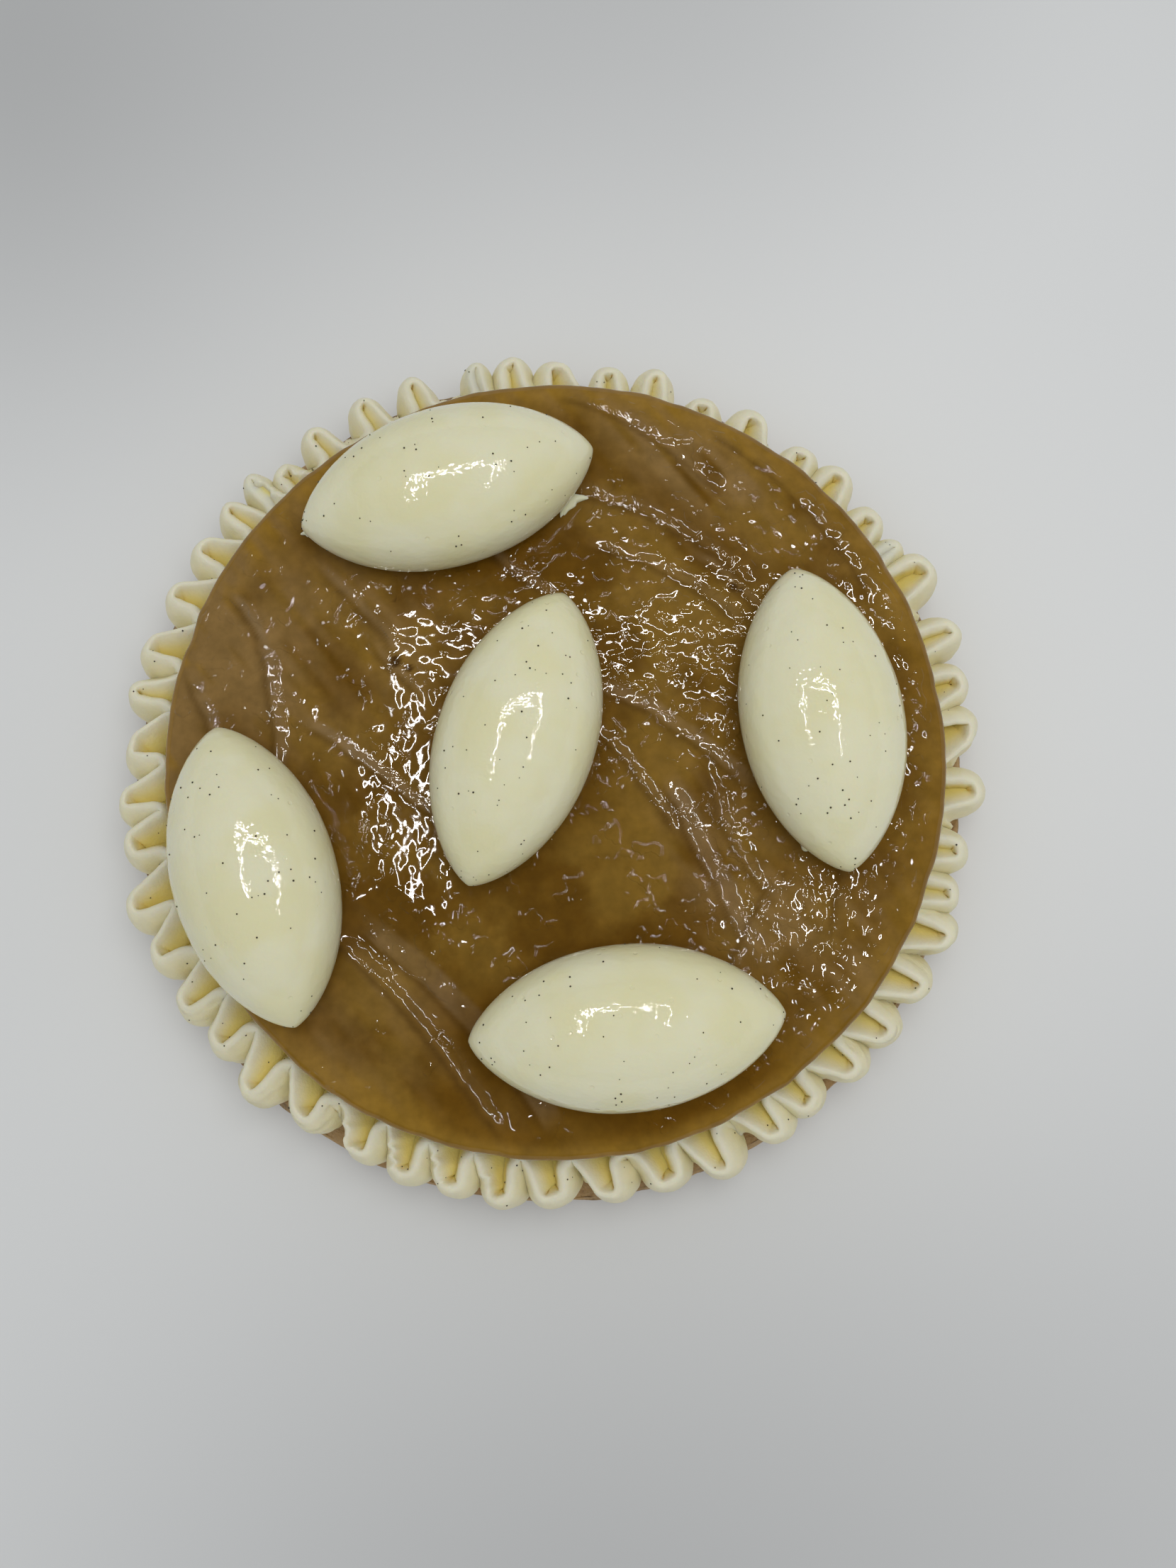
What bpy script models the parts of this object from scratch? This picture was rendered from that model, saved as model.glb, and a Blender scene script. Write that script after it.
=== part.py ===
"""Tarte tatin, in metres, +Z up, with its origin at the centre of its underside.

A thin round of baked pastry carries a thick disc of pressed, caramelised apple. A ruffle of
vanilla cream is piped in one run on the pastry's rim, round the disc, and five moulded
quenelles of the same cream lie on top of the apple."""

import math
import random

import bmesh
import bpy

# What rests on its neighbour stands this far clear of it.
GAP = 0.0003

# The pastry round, cut out plain and baked flat.
PASTRY_RADIUS = 0.1160
PASTRY_TOP = 0.0080
PASTRY_CORNER = 0.0012
PASTRY_SIDES = 72

# The apple disc, turned out of a 200 mm ring a little to the right of the pastry's centre.
DISC_CENTRE = (0.0027, -0.0006)
DISC_RADIUS = 0.1000
DISC_TOP = 0.0393
DISC_CORNER = 0.0026
DISC_WAVE = 0.0005
DISC_SIDES = 96

# The piped ruffle: one wavy ribbon of loops, counted anticlockwise from the first cusp.
RUFFLE_REACH = 0.1171
RUFFLE_CREST = 0.0290
CREST_JITTER = 0.0007
FIRST_CUSP = math.radians(1.0)
LOOP_WIDTH = {"n": 5.2, "m": 6.95, "w": 8.5}  # narrow, middling and wide, in degrees
RHYTHM = "wmmwnmmnwmmmmnnwmmnnmmmwmmmmwmmmwwmmmmmwwwmmmmmmnnw"
LEAN = "410113100010200121001234132122221111110203322222002"
HOLLOW = "321202212111210112201112132332222322222212212222112"
LEAN_STEP = 0.0011  # one figure of LEAN carries a loop's tip this far on round the rim
TOP_SHIFT = -0.0018  # the ribbon's thin top falls back this far from its foot
# Loops that the hand drew longer or shorter than the rest.
ODD_REACH = {2: 1.6, 3: 3.7, 4: -0.9, 7: -1.4, 9: -2.2, 11: -2.0, 18: -2.4, 28: 3.2, 29: 1.6,
             30: 1.6, 32: 2.7, 41: 1.6, 42: -1.5, 46: 1.6, 47: 2.4}  # in millimetres
SPREAD = {0: 0.46, 1: 0.42, 2: 0.56, 3: 0.66}  # the crest's half width, as a share of the loop's

# Sections through the ruffle, from the apple's side over the crest to the foot outside, as
# (share of the reach, share of the height): at the cusp between two loops, on the loop's
# flank, along the ridge of its leg, in its hollow, and down its middle slit.
CUSP = ((0, 0), (0, 0.86), (0.10, 0.93), (0.16, 0.95), (0.24, 0.88), (0.45, 0.60), (0.66, 0.28), (0.72, 0))
FLANK = ((0, 0), (0, 0.92), (0.10, 0.96), (0.20, 0.97), (0.32, 0.90), (0.62, 0.66), (0.88, 0.25), (0.85, 0))
RIDGE = ((0, 0), (0, 0.97), (0.25, 1.0), (0.60, 1.0), (0.73, 0.95), (0.84, 0.72), (0.95, 0.25), (0.91, 0))
SLOPE = ((0, 0), (0, 0.62), (0.35, 0.62), (0.66, 0.76), (0.82, 1.0), (0.91, 0.85), (0.99, 0.25), (0.95, 0))
SLIT = ((0, 0), (0, 0.50), (0.35, 0.50), (0.68, 0.62), (0.84, 1.0), (0.93, 0.85), (1.0, 0.25), (0.96, 0))

# The quenelles: name, centre, and the way that the long axis points, in degrees.
QUENELLES = (
    ("quenelle_centre", -0.0056, 0.0034, 72.5),
    ("quenelle_right", 0.0699, 0.0079, 99.2),
    ("quenelle_front", 0.0214, -0.0674, 5.0),
    ("quenelle_left", -0.0700, -0.0306, 106.5),
    ("quenelle_back", -0.0236, 0.0678, 15.3),
)
QUENELLE_LENGTH = 0.0770
QUENELLE_WIDTH = 0.0400
QUENELLE_HEIGHT = 0.0260
QUENELLE_BELLY = 0.0080  # height of its widest level
QUENELLE_FOOT = 0.86  # width of the flat it rests on, as a share of the belly's
QUENELLE_STATIONS = 14
QUENELLE_ARC = 8


def clear_scene():
    for obj in list(bpy.data.objects):
        bpy.data.objects.remove(obj)


def new_material(name, colour, roughness):
    material = bpy.data.materials.new(name)
    material.use_nodes = True
    shader = material.node_tree.nodes["Principled BSDF"]
    shader.inputs["Base Color"].default_value = (*colour, 1)
    shader.inputs["Roughness"].default_value = roughness
    shader.inputs["Metallic"].default_value = 0
    return material


def lofted_solid(name, rings, material, joined_up=False):
    """A closed skin over rings of equally many points. Joined up, the last ring meets the first;
    otherwise each end is a flat face, or a point where the end ring is a single point."""
    form = bmesh.new()
    rows = [[form.verts.new(point) for point in ring] for ring in rings]
    following = rows[1:] + rows[:1] if joined_up else rows[1:]
    for row, other in zip(rows, following):
        count = max(len(row), len(other))
        for i in range(count):
            j = (i + 1) % count
            if len(row) == 1:
                form.faces.new((row[0], other[j], other[i]))
            elif len(other) == 1:
                form.faces.new((row[i], row[j], other[0]))
            else:
                form.faces.new((row[i], row[j], other[j], other[i]))
    if not joined_up:
        for row in (rows[0], rows[-1]):
            if len(row) > 1:
                form.faces.new(row)
    bmesh.ops.recalc_face_normals(form, faces=form.faces)
    mesh = bpy.data.meshes.new(name)
    form.to_mesh(mesh)
    form.free()
    mesh.shade_smooth()
    mesh.set_sharp_from_angle(angle=math.radians(50))
    mesh.materials.append(material)
    obj = bpy.data.objects.new(name, mesh)
    bpy.context.scene.collection.objects.link(obj)
    return obj


def turned_ring(radius_at, inset, height, sides):
    angles = [2 * math.pi * i / sides for i in range(sides)]
    return [
        ((radius_at(a) - inset) * math.cos(a), (radius_at(a) - inset) * math.sin(a), height)
        for a in angles
    ]


def corner(base, turn, size, steps=3):
    """(inset, height) along a quarter round that ends at height base + turn * size."""
    for i in range(steps + 1):
        a = math.pi / 2 * i / steps
        yield size * (1 - math.cos(a)), base + turn * size * math.sin(a)


def make_pastry(material):
    def radius_at(a):
        return PASTRY_RADIUS + 0.0004 * math.sin(3 * a + 1.0) + 0.0003 * math.sin(7 * a)

    low = list(corner(PASTRY_CORNER, -1, PASTRY_CORNER, 1))[::-1]
    high = list(corner(PASTRY_TOP - PASTRY_CORNER, 1, PASTRY_CORNER, 1))
    rings = [turned_ring(radius_at, inset, z, PASTRY_SIDES) for inset, z in low + high]
    lofted_solid("pastry_base", rings, material)


def disc_radius_at(a):
    return DISC_RADIUS + DISC_WAVE * (0.6 * math.sin(9 * a + 0.5) + 0.4 * math.sin(23 * a))


def make_apple_disc(material):
    profile = [(0, PASTRY_TOP + GAP)] + list(corner(DISC_TOP - DISC_CORNER, 1, DISC_CORNER))
    rings = [turned_ring(disc_radius_at, inset, z, DISC_SIDES) for inset, z in profile]
    disc = lofted_solid("apple_disc", rings, material)
    disc.location = (*DISC_CENTRE, 0)


def ruffle_inner_radius(angle):
    """How far the apple disc's side is from the origin in this direction, with its clearance."""
    off = math.hypot(*DISC_CENTRE)
    turn = angle - math.atan2(DISC_CENTRE[1], DISC_CENTRE[0])
    clear = DISC_RADIUS + DISC_WAVE + GAP
    return off * math.cos(turn) + math.sqrt(clear**2 - (off * math.sin(turn)) ** 2)


def ruffle_loops():
    """Each loop's two cusps, tip reach, crest height, lean, and the width of its hollow."""
    chance = random.Random(11)
    total = sum(LOOP_WIDTH[letter] for letter in RHYTHM)
    loops = []
    cusp = FIRST_CUSP
    for k, letter in enumerate(RHYTHM):
        width = 2 * math.pi * LOOP_WIDTH[letter] / total
        loops.append({
            "from": cusp,
            "to": cusp + width,
            "reach": RUFFLE_REACH + 0.001 * ODD_REACH.get(k, chance.uniform(-0.8, 0.9)),
            "crest": RUFFLE_CREST + chance.uniform(-CREST_JITTER, CREST_JITTER),
            "lean": LEAN_STEP * int(LEAN[k]),
            "hollow": int(HOLLOW[k]),
        })
        cusp += width
    return loops


def filled(section):
    """The same section with its hollow filled up, for a loop that closed over."""
    return tuple((f, max(g, 0.9)) if 0 < i < 4 else (f, g) for i, (f, g) in enumerate(section))


def loop_columns(loop):
    """(place across the loop from -1 to 1, section) for one loop, without its far cusp."""
    leg = SPREAD[loop["hollow"]]
    slope = filled(SLOPE) if loop["hollow"] == 0 else SLOPE
    slit = filled(SLIT) if loop["hollow"] == 0 else SLIT
    flank = (1 + leg) / 2
    return (
        (-1, CUSP), (-flank, FLANK), (-leg, RIDGE), (-leg / 2, slope),
        (0, slit), (leg / 2, slope), (leg, RIDGE), (flank, FLANK),
    )


def make_ruffle(material):
    loops = ruffle_loops()
    foot = PASTRY_TOP + GAP
    rings = []
    for k, loop in enumerate(loops):
        for across, section in loop_columns(loop):
            neighbour = loops[(k + (1 if across > 0 else -1)) % len(loops)]
            share = abs(across) / 2  # of the neighbour: half of it at the cusp
            reach, crest, lean = (
                (1 - share) * loop[key] + share * neighbour[key] for key in ("reach", "crest", "lean")
            )
            angle = loop["from"] + (1 + across) / 2 * (loop["to"] - loop["from"])
            inner = ruffle_inner_radius(angle)
            ring = []
            for out, up in section:
                radius = inner + out * (reach - inner)
                shift = lean * (out - 0.5) + TOP_SHIFT * up
                turned = angle + shift / radius
                # Turned, the point is kept as far from the disc's side as it was.
                radius += ruffle_inner_radius(turned) - inner
                height = foot + up * (crest - foot)
                ring.append((radius * math.cos(turned), radius * math.sin(turned), height))
            rings.append(ring)
    lofted_solid("piped_border", rings, material, joined_up=True)


def quenelle_half_width(s):
    """A lemon outline with drawn-out, slightly blunt tips; s runs from -1 to 1 along it."""
    return QUENELLE_WIDTH / 2 * (1 - abs(s) ** 2.05) ** 0.71


def quenelle_section(s):
    """The closed section at s: a full round over the top, tucked in below to a flat foot."""
    half = quenelle_half_width(s)
    rise = (QUENELLE_HEIGHT - QUENELLE_BELLY) * (1 - abs(s) ** 2.2) ** 0.66
    points = []
    for i in range(QUENELLE_ARC + 1):
        a = math.pi * i / QUENELLE_ARC
        points.append((half * math.cos(a), QUENELLE_BELLY + rise * math.sin(a)))
    foot = QUENELLE_FOOT * half
    tuck = (foot + half) / 2 + 0.04 * half
    points += [(-tuck, 0.4 * QUENELLE_BELLY), (-foot, 0), (foot, 0), (tuck, 0.4 * QUENELLE_BELLY)]
    return points


def make_quenelle(name, x, y, heading, material):
    half_length = QUENELLE_LENGTH / 2
    rings = [[(-half_length, 0, QUENELLE_BELLY)]]
    for i in range(1, QUENELLE_STATIONS):
        s = -math.cos(math.pi * i / QUENELLE_STATIONS)
        rings.append([(half_length * s, across, up) for across, up in quenelle_section(s)])
    rings.append([(half_length, 0, QUENELLE_BELLY)])
    quenelle = lofted_solid(name, rings, material)
    quenelle.location = (x, y, DISC_TOP + GAP)
    quenelle.rotation_euler = (0, 0, math.radians(heading))


clear_scene()
make_pastry(new_material("baked_pastry", (0.36, 0.17, 0.06), 0.75))
make_apple_disc(new_material("caramel_apple", (0.30, 0.15, 0.035), 0.15))
cream = new_material("vanilla_cream", (0.80, 0.74, 0.50), 0.4)
make_ruffle(cream)
for quenelle_name, centre_x, centre_y, points_to in QUENELLES:
    make_quenelle(quenelle_name, centre_x, centre_y, points_to, cream)
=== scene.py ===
import itertools
import math
import random

import bpy
import numpy as np
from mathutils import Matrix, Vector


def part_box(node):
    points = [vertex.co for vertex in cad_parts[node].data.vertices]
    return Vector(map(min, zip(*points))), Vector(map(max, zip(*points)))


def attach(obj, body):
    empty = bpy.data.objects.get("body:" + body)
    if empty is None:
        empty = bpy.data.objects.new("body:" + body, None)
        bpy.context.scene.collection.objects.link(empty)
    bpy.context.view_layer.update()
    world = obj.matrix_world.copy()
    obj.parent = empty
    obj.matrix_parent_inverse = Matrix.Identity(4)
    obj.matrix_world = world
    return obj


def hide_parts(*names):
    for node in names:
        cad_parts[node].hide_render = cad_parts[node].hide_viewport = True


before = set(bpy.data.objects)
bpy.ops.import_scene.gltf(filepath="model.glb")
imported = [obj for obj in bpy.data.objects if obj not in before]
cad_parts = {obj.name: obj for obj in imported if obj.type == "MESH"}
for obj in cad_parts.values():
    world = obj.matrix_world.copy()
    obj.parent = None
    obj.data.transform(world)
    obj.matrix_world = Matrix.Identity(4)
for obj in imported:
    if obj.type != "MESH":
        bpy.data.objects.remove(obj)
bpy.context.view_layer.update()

# ---------------------------------------------------------------- the view
# The tart is looked at from almost straight above, from a little in front and to the right,
# near enough for the rim to lean outwards in the view.
VIEW_LENS = 27.03
VIEW_PLACE = (0.01862, -0.04101, 0.33647)
VIEW_TURN = (6.4558, 1.2961, -0.0965)

view_data = bpy.data.cameras.new("view_from_above")
view_data.lens = VIEW_LENS
view_data.sensor_width = 36
view_data.clip_start = 0.01
view_camera = bpy.data.objects.new("view_from_above", view_data)
view_camera.location = VIEW_PLACE
view_camera.rotation_euler = [math.radians(turn) for turn in VIEW_TURN]
bpy.context.scene.collection.objects.link(view_camera)
bpy.context.scene.camera = view_camera

# ---------------------------------------------------------------- light
# A white light tent: soft light from all round and above, and rows of small lamps along three
# sides of the opening in its roof, which the jelly and the cream mirror as thin dotted lines.
TENT_WHITE = (0.955, 0.98, 1.0)
TENT_GLOW = 0.54
SOFT_LAMP_POWER = 0.85
SOFT_LAMP_WHITE = (1.0, 0.99, 0.97)
SOFT_LAMP_SIZE = 0.30
SOFT_LAMP_PLACE = (0.10, 0.04, 0.55)
SOFT_LAMP_TURN = (-0.07, 0.18, 0)
# The rows of lamps, in metres: their height, and the sides of the opening that they run along.
LAMP_ROOF = 0.345
LAMP_LEFT = -0.088
LAMP_RIGHT = 0.125
LAMP_BACK = 0.098
LAMP_FRONT = -0.062
LAMP_SIZE = 0.0046
LAMP_PITCH = 0.0080
LAMP_GLOW = 140.0
LAMP_WHITE = (1.0, 0.975, 0.955)
ROOF_GLOW = 0.06
ROOF_SIZE = 1.6


def add_node(tree, kind, **sockets):
    """A new node, with plain values put on the sockets that are named."""
    node = tree.nodes.new(kind)
    for socket, value in sockets.items():
        node.inputs[socket.replace("_", " ")].default_value = value
    return node


def glow(name, colour, strength):
    finish = bpy.data.materials.new(name)
    finish.use_nodes = True
    finish.node_tree.nodes.clear()
    shine = add_node(finish.node_tree, "ShaderNodeEmission", Color=(*colour, 1), Strength=strength)
    out = add_node(finish.node_tree, "ShaderNodeOutputMaterial")
    finish.node_tree.links.new(shine.outputs[0], out.inputs["Surface"])
    return finish


def seen_in_gloss_only(piece):
    piece.visible_camera = False
    piece.visible_diffuse = False
    piece.visible_shadow = False
    piece.visible_transmission = False


def lamp_row(name, start, along_x, along_y):
    """Small square lamps in a row from start, facing down."""
    bpy.ops.object.select_all(action="DESELECT")
    bpy.ops.mesh.primitive_plane_add(size=LAMP_SIZE, location=(*start, LAMP_ROOF))
    row = bpy.context.object
    row.name = name
    reach = math.hypot(along_x, along_y)
    repeat = row.modifiers.new("row", "ARRAY")
    repeat.use_relative_offset = False
    repeat.use_constant_offset = True
    repeat.constant_offset_displace = (
        LAMP_PITCH * along_x / reach, LAMP_PITCH * along_y / reach, 0)
    repeat.count = int(reach / LAMP_PITCH)
    bpy.ops.object.modifier_apply(modifier="row")
    row.data.materials.append(lamp_finish)
    seen_in_gloss_only(row)


lamp_finish = glow("lamp_glow", LAMP_WHITE, LAMP_GLOW)
lamp_row("lamps_back", (LAMP_LEFT, LAMP_BACK), LAMP_RIGHT - LAMP_LEFT, 0)
lamp_row("lamps_left", (LAMP_LEFT, LAMP_BACK), 0, LAMP_FRONT - LAMP_BACK)
lamp_row("lamps_right", (LAMP_RIGHT, LAMP_BACK), 0, LAMP_FRONT - LAMP_BACK)

# The roof itself gives little light, which keeps the jelly's colour deep.
bpy.ops.object.select_all(action="DESELECT")
bpy.ops.mesh.primitive_plane_add(size=ROOF_SIZE, location=(0, 0, LAMP_ROOF + 0.01))
roof = bpy.context.object
roof.name = "tent_roof"
roof.data.materials.append(glow("roof_glow", TENT_WHITE, ROOF_GLOW))
seen_in_gloss_only(roof)

tent = bpy.data.worlds.new("light_tent")
tent.use_nodes = True
tent_light = tent.node_tree.nodes["Background"]
tent_light.inputs["Color"].default_value = (*TENT_WHITE, 1)
tent_light.inputs["Strength"].default_value = TENT_GLOW
bpy.context.scene.world = tent
bpy.context.scene.view_settings.view_transform = "Standard"

soft_lamp_data = bpy.data.lights.new("soft_lamp", "AREA")
soft_lamp_data.size = SOFT_LAMP_SIZE
soft_lamp_data.energy = SOFT_LAMP_POWER
soft_lamp_data.color = SOFT_LAMP_WHITE
soft_lamp = bpy.data.objects.new("soft_lamp", soft_lamp_data)
soft_lamp.location = SOFT_LAMP_PLACE
soft_lamp.rotation_euler = SOFT_LAMP_TURN
soft_lamp.visible_glossy = False
bpy.context.scene.collection.objects.link(soft_lamp)

# ---------------------------------------------------------------- pastry
# A round of puff pastry, rolled thin, docked, cut out plain and baked flat between trays, so
# that its edge shows thin brown leaves and its top is blistered. Everything stands on it.
# All sizes from here on are in millimetres.
MM = 0.001
PASTRY_LOW, PASTRY_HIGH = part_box("pastry_base")
PASTRY_RADIUS = 1000 * (PASTRY_HIGH.x - PASTRY_LOW.x) / 2 + 0.3
PASTRY_X, PASTRY_Y = -0.7, -1.8
PASTRY_TOP = 1000 * PASTRY_HIGH.z
PASTRY_SIDES = 620
PASTRY_LEAVES = 17
PASTRY_RINGS = 20
PASTRY_RING = 0.9
PASTRY_EDGE_ROUND = 0.9
LEAF_DEPTH = 1.1
PASTRY_BROWN = (0.50, 0.285, 0.105)
PASTRY_PALE = (0.76, 0.55, 0.28)
# The dark brown is both scorch marks and painted shade on leaves set back from the edge.
PASTRY_DARK_AND_SHADE = (0.13, 0.055, 0.020)


def rough(points, size, seed):
    """A smooth random field from -1 to 1 over points in millimetres, with lumps of this size."""
    cell = np.asarray(points, float) / size
    low = np.floor(cell).astype(np.int64)
    part = cell - low
    ease = part**3 * (part * (part * 6 - 15) + 10)
    total = np.zeros(cell.shape[:-1])
    for corner in itertools.product((0, 1), repeat=3):
        at = low + np.array(corner)
        key = at[..., 0] * 73856093 ^ at[..., 1] * 19349663 ^ at[..., 2] * 83492791 ^ seed * 40503
        key = (key ^ key >> 13) * 1274126177 & 0xFFFFFFFF
        key = (key ^ key >> 15) * 668265263 & 0xFFFFFFFF
        height = ((key ^ key >> 16) & 0xFFFF) / 32767.5 - 1
        share = np.where(np.array(corner) == 1, ease, 1 - ease).prod(-1)
        total += height * share
    return total


def on_plane(x, y, z=0.0):
    """The same numbers as rows of points."""
    return np.stack(np.broadcast_arrays(x, y, z), -1)


def places(piece):
    """A piece's points, in millimetres."""
    spots = np.empty(len(piece.data.vertices) * 3)
    piece.data.vertices.foreach_get("co", spots)
    return spots.reshape(-1, 3) * 1000


def put(piece, spots):
    piece.data.vertices.foreach_set("co", (np.asarray(spots) * MM).ravel())
    piece.data.update()


def paint(piece, name, values):
    """A number from 0 to 1 at each point, which the finish reads by its name."""
    layer = piece.data.attributes.new(name, "FLOAT", "POINT")
    layer.data.foreach_set("value", np.clip(values, 0, 1).astype(np.float32).ravel())


def new_finish(name, roughness):
    finish = bpy.data.materials.new(name)
    finish.use_nodes = True
    shader = finish.node_tree.nodes["Principled BSDF"]
    shader.inputs["Roughness"].default_value = roughness
    return finish, finish.node_tree, shader


def mixed(tree, share, first, second, mode="MIX"):
    """A colour between two, by a share; each may be a colour or another node's output."""
    node = tree.nodes.new("ShaderNodeMix")
    node.data_type = "RGBA"
    node.blend_type = mode
    for socket, value in ((0, share), (6, first), (7, second)):
        if isinstance(value, bpy.types.NodeSocket):
            tree.links.new(value, node.inputs[socket])
        elif isinstance(value, tuple):
            node.inputs[socket].default_value = (*value, 1)
        else:
            node.inputs[socket].default_value = value
    return node.outputs[2]


def painted(tree, name):
    node = tree.nodes.new("ShaderNodeAttribute")
    node.attribute_name = name
    return node.outputs["Fac"]


def maths(tree, operation, first, second):
    node = tree.nodes.new("ShaderNodeMath")
    node.operation = operation
    for socket, value in zip(node.inputs, (first, second)):
        if isinstance(value, bpy.types.NodeSocket):
            tree.links.new(value, socket)
        else:
            socket.default_value = value
    return node.outputs[0]


def ramp(tree, value, low, high):
    """A number that rises softly from 0 to 1 as the value goes from low to high."""
    rise = tree.nodes.new("ShaderNodeMapRange")
    rise.interpolation_type = "SMOOTHSTEP"
    rise.inputs["From Min"].default_value = low
    rise.inputs["From Max"].default_value = high
    tree.links.new(value, rise.inputs["Value"])
    return rise.outputs[0]


# Soft patches over a piece, which every finish uses: one group of nodes, on the piece's own
# coordinates, that puts out a mask from 0 to 1.
soft_patches = bpy.data.node_groups.new("soft_patches", "ShaderNodeTree")
for name in ("Scale", "Detail", "Low", "High"):
    soft_patches.interface.new_socket(name, in_out="INPUT", socket_type="NodeSocketFloat")
soft_patches.interface.new_socket("Stretch", in_out="INPUT", socket_type="NodeSocketVector")
soft_patches.interface.new_socket("Patches", in_out="OUTPUT", socket_type="NodeSocketFloat")
given = soft_patches.nodes.new("NodeGroupInput")
result = soft_patches.nodes.new("NodeGroupOutput")
where = soft_patches.nodes.new("ShaderNodeTexCoord")
turn = soft_patches.nodes.new("ShaderNodeMapping")
noise = soft_patches.nodes.new("ShaderNodeTexNoise")
rise = soft_patches.nodes.new("ShaderNodeMapRange")
rise.interpolation_type = "SMOOTHSTEP"
for start, end in (
        (where.outputs["Object"], turn.inputs["Vector"]), (given.outputs["Stretch"], turn.inputs["Scale"]),
        (turn.outputs["Vector"], noise.inputs["Vector"]), (given.outputs["Scale"], noise.inputs["Scale"]),
        (given.outputs["Detail"], noise.inputs["Detail"]), (noise.outputs["Fac"], rise.inputs["Value"]),
        (given.outputs["Low"], rise.inputs["From Min"]), (given.outputs["High"], rise.inputs["From Max"]),
        (rise.outputs["Result"], result.inputs["Patches"])):
    soft_patches.links.new(start, end)


def cloud(tree, scale, detail=3.0, stretch=(1, 1, 1), low=0.35, high=0.65):
    """The group of soft patches placed in a finish, scale to the metre."""
    patches = tree.nodes.new("ShaderNodeGroup")
    patches.node_tree = soft_patches
    values = {"Scale": scale, "Detail": detail, "Stretch": stretch, "Low": low, "High": high}
    for name, value in values.items():
        patches.inputs[name].default_value = value
    return patches.outputs["Patches"]


def bumped(tree, shader, height, distance, strength=1.0):
    bump = add_node(tree, "ShaderNodeBump", Distance=distance, Strength=strength)
    tree.links.new(height, bump.inputs["Height"])
    tree.links.new(bump.outputs[0], shader.inputs["Normal"])
    return bump


bpy.ops.object.select_all(action="DESELECT")
bpy.ops.mesh.primitive_circle_add(
    vertices=PASTRY_SIDES, radius=PASTRY_RADIUS * MM, fill_type="NGON", location=(0, 0, 0))
pastry = bpy.context.object
pastry.name = "puff_pastry"
bpy.ops.object.mode_set(mode="EDIT")
bpy.ops.mesh.select_mode(type="EDGE")
bpy.ops.mesh.select_all(action="SELECT")
bpy.ops.mesh.select_mode(type="FACE")
leaf_rise = PASTRY_TOP / PASTRY_LEAVES * MM
for leaf in range(PASTRY_LEAVES):
    bpy.ops.mesh.extrude_region_move(TRANSFORM_OT_translate={"value": (0, 0, leaf_rise)})
for ring in range(PASTRY_RINGS):
    bpy.ops.mesh.inset(thickness=PASTRY_RING * MM, use_even_offset=False)
bpy.ops.object.mode_set(mode="OBJECT")

spots = places(pastry)
reach = np.hypot(spots[:, 0], spots[:, 1])
turn = np.arctan2(spots[:, 1], spots[:, 0])
layer = np.round(spots[:, 2] / (PASTRY_TOP / PASTRY_LEAVES))
rim = on_plane(np.cos(turn) * 60, np.sin(turn) * 60, layer * 7.3)
leaf_edge = 0.65 * rough(rim, 9, 3) + 0.35 * rough(rim, 2.5, 4)
edge_round = np.clip((spots[:, 2] - PASTRY_TOP + 1.2) / 1.2, 0, 1) ** 2
edge_round += np.clip((0.8 - spots[:, 2]) / 0.8, 0, 1) ** 2
on_edge = np.clip((reach - PASTRY_RADIUS + 1.5) / 1.5, 0, 1)
pull = on_edge * (LEAF_DEPTH * (leaf_edge - 0.6) - PASTRY_EDGE_ROUND * edge_round)
flat = on_plane(spots[:, 0], spots[:, 1])
blister = 0.35 * rough(flat, 5, 8) + 0.18 * rough(flat, 1.8, 9)
sag = 0.22 * rough(rim * (1, 1, 0.2), 12, 5) * np.clip(spots[:, 2] / 4, 0, 1)
on_top = np.clip((spots[:, 2] - PASTRY_TOP + 0.2) / 0.2, 0, 1)
spots[:, 0] += PASTRY_X + pull * np.cos(turn)
spots[:, 1] += PASTRY_Y + pull * np.sin(turn)
spots[:, 2] += on_top * np.minimum(blister - 0.25, 0.1) + (1 - on_top) * sag
put(pastry, spots)
# The leaf mask: each leaf's own tone, and painted shade, with leaves set back painted darker and those
# that stand out paler.
shown = 0.5 + 0.5 * rough(on_plane(layer * 2.3, np.cos(turn), np.sin(turn)) * (1, 3, 3), 1.0, 7)
paint(pastry, "leaf", 0.45 + on_edge * (0.35 * leaf_edge + 0.5 * (shown - 0.5)))
bpy.ops.object.shade_smooth()

pastry_finish, tree, shader = new_finish("baked_puff_pastry", 0.55)
# Painted shade between the leaves, with each leaf's own tone.
crust = mixed(tree, painted(tree, "leaf"), PASTRY_DARK_AND_SHADE, PASTRY_PALE)
crust = mixed(tree, 0.25, crust, PASTRY_BROWN)
baked = maths(tree, "MULTIPLY", cloud(tree, 110), 0.6)
crust = mixed(tree, baked, crust, PASTRY_BROWN)
scorched = maths(tree, "MULTIPLY", cloud(tree, 420, stretch=(0.6, 0.6, 3), low=0.5, high=0.75), 0.5)
crust = mixed(tree, scorched, crust, PASTRY_DARK_AND_SHADE)
tree.links.new(crust, shader.inputs["Base Color"])
bumped(tree, shader, cloud(tree, 900, detail=6, low=0.2, high=0.8), 0.0004)
pastry.data.materials.append(pastry_finish)
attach(pastry, "root")
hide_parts("pastry_base")

# ---------------------------------------------------------------- apple disc
# Thin slices of apple, cooked in caramel, pressed in a ring until they hold together, turned
# out and brushed with clear jelly. The slices' edges run over the top as low steps with a
# milky edge, and the jelly lies over them in low swells and small beads.
DISC_LOW, DISC_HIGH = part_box("apple_disc")
DISC_X = 500 * (DISC_LOW.x + DISC_HIGH.x)
DISC_Y = 500 * (DISC_LOW.y + DISC_HIGH.y)
DISC_RADIUS = 100.5
DISC_TOP = 1000 * DISC_HIGH.z
DISC_FOOT = 1000 * DISC_LOW.z
DISC_CORNER = 2.0
DISC_CELLS = 260
DISC_SIDE_RINGS = 15

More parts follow.
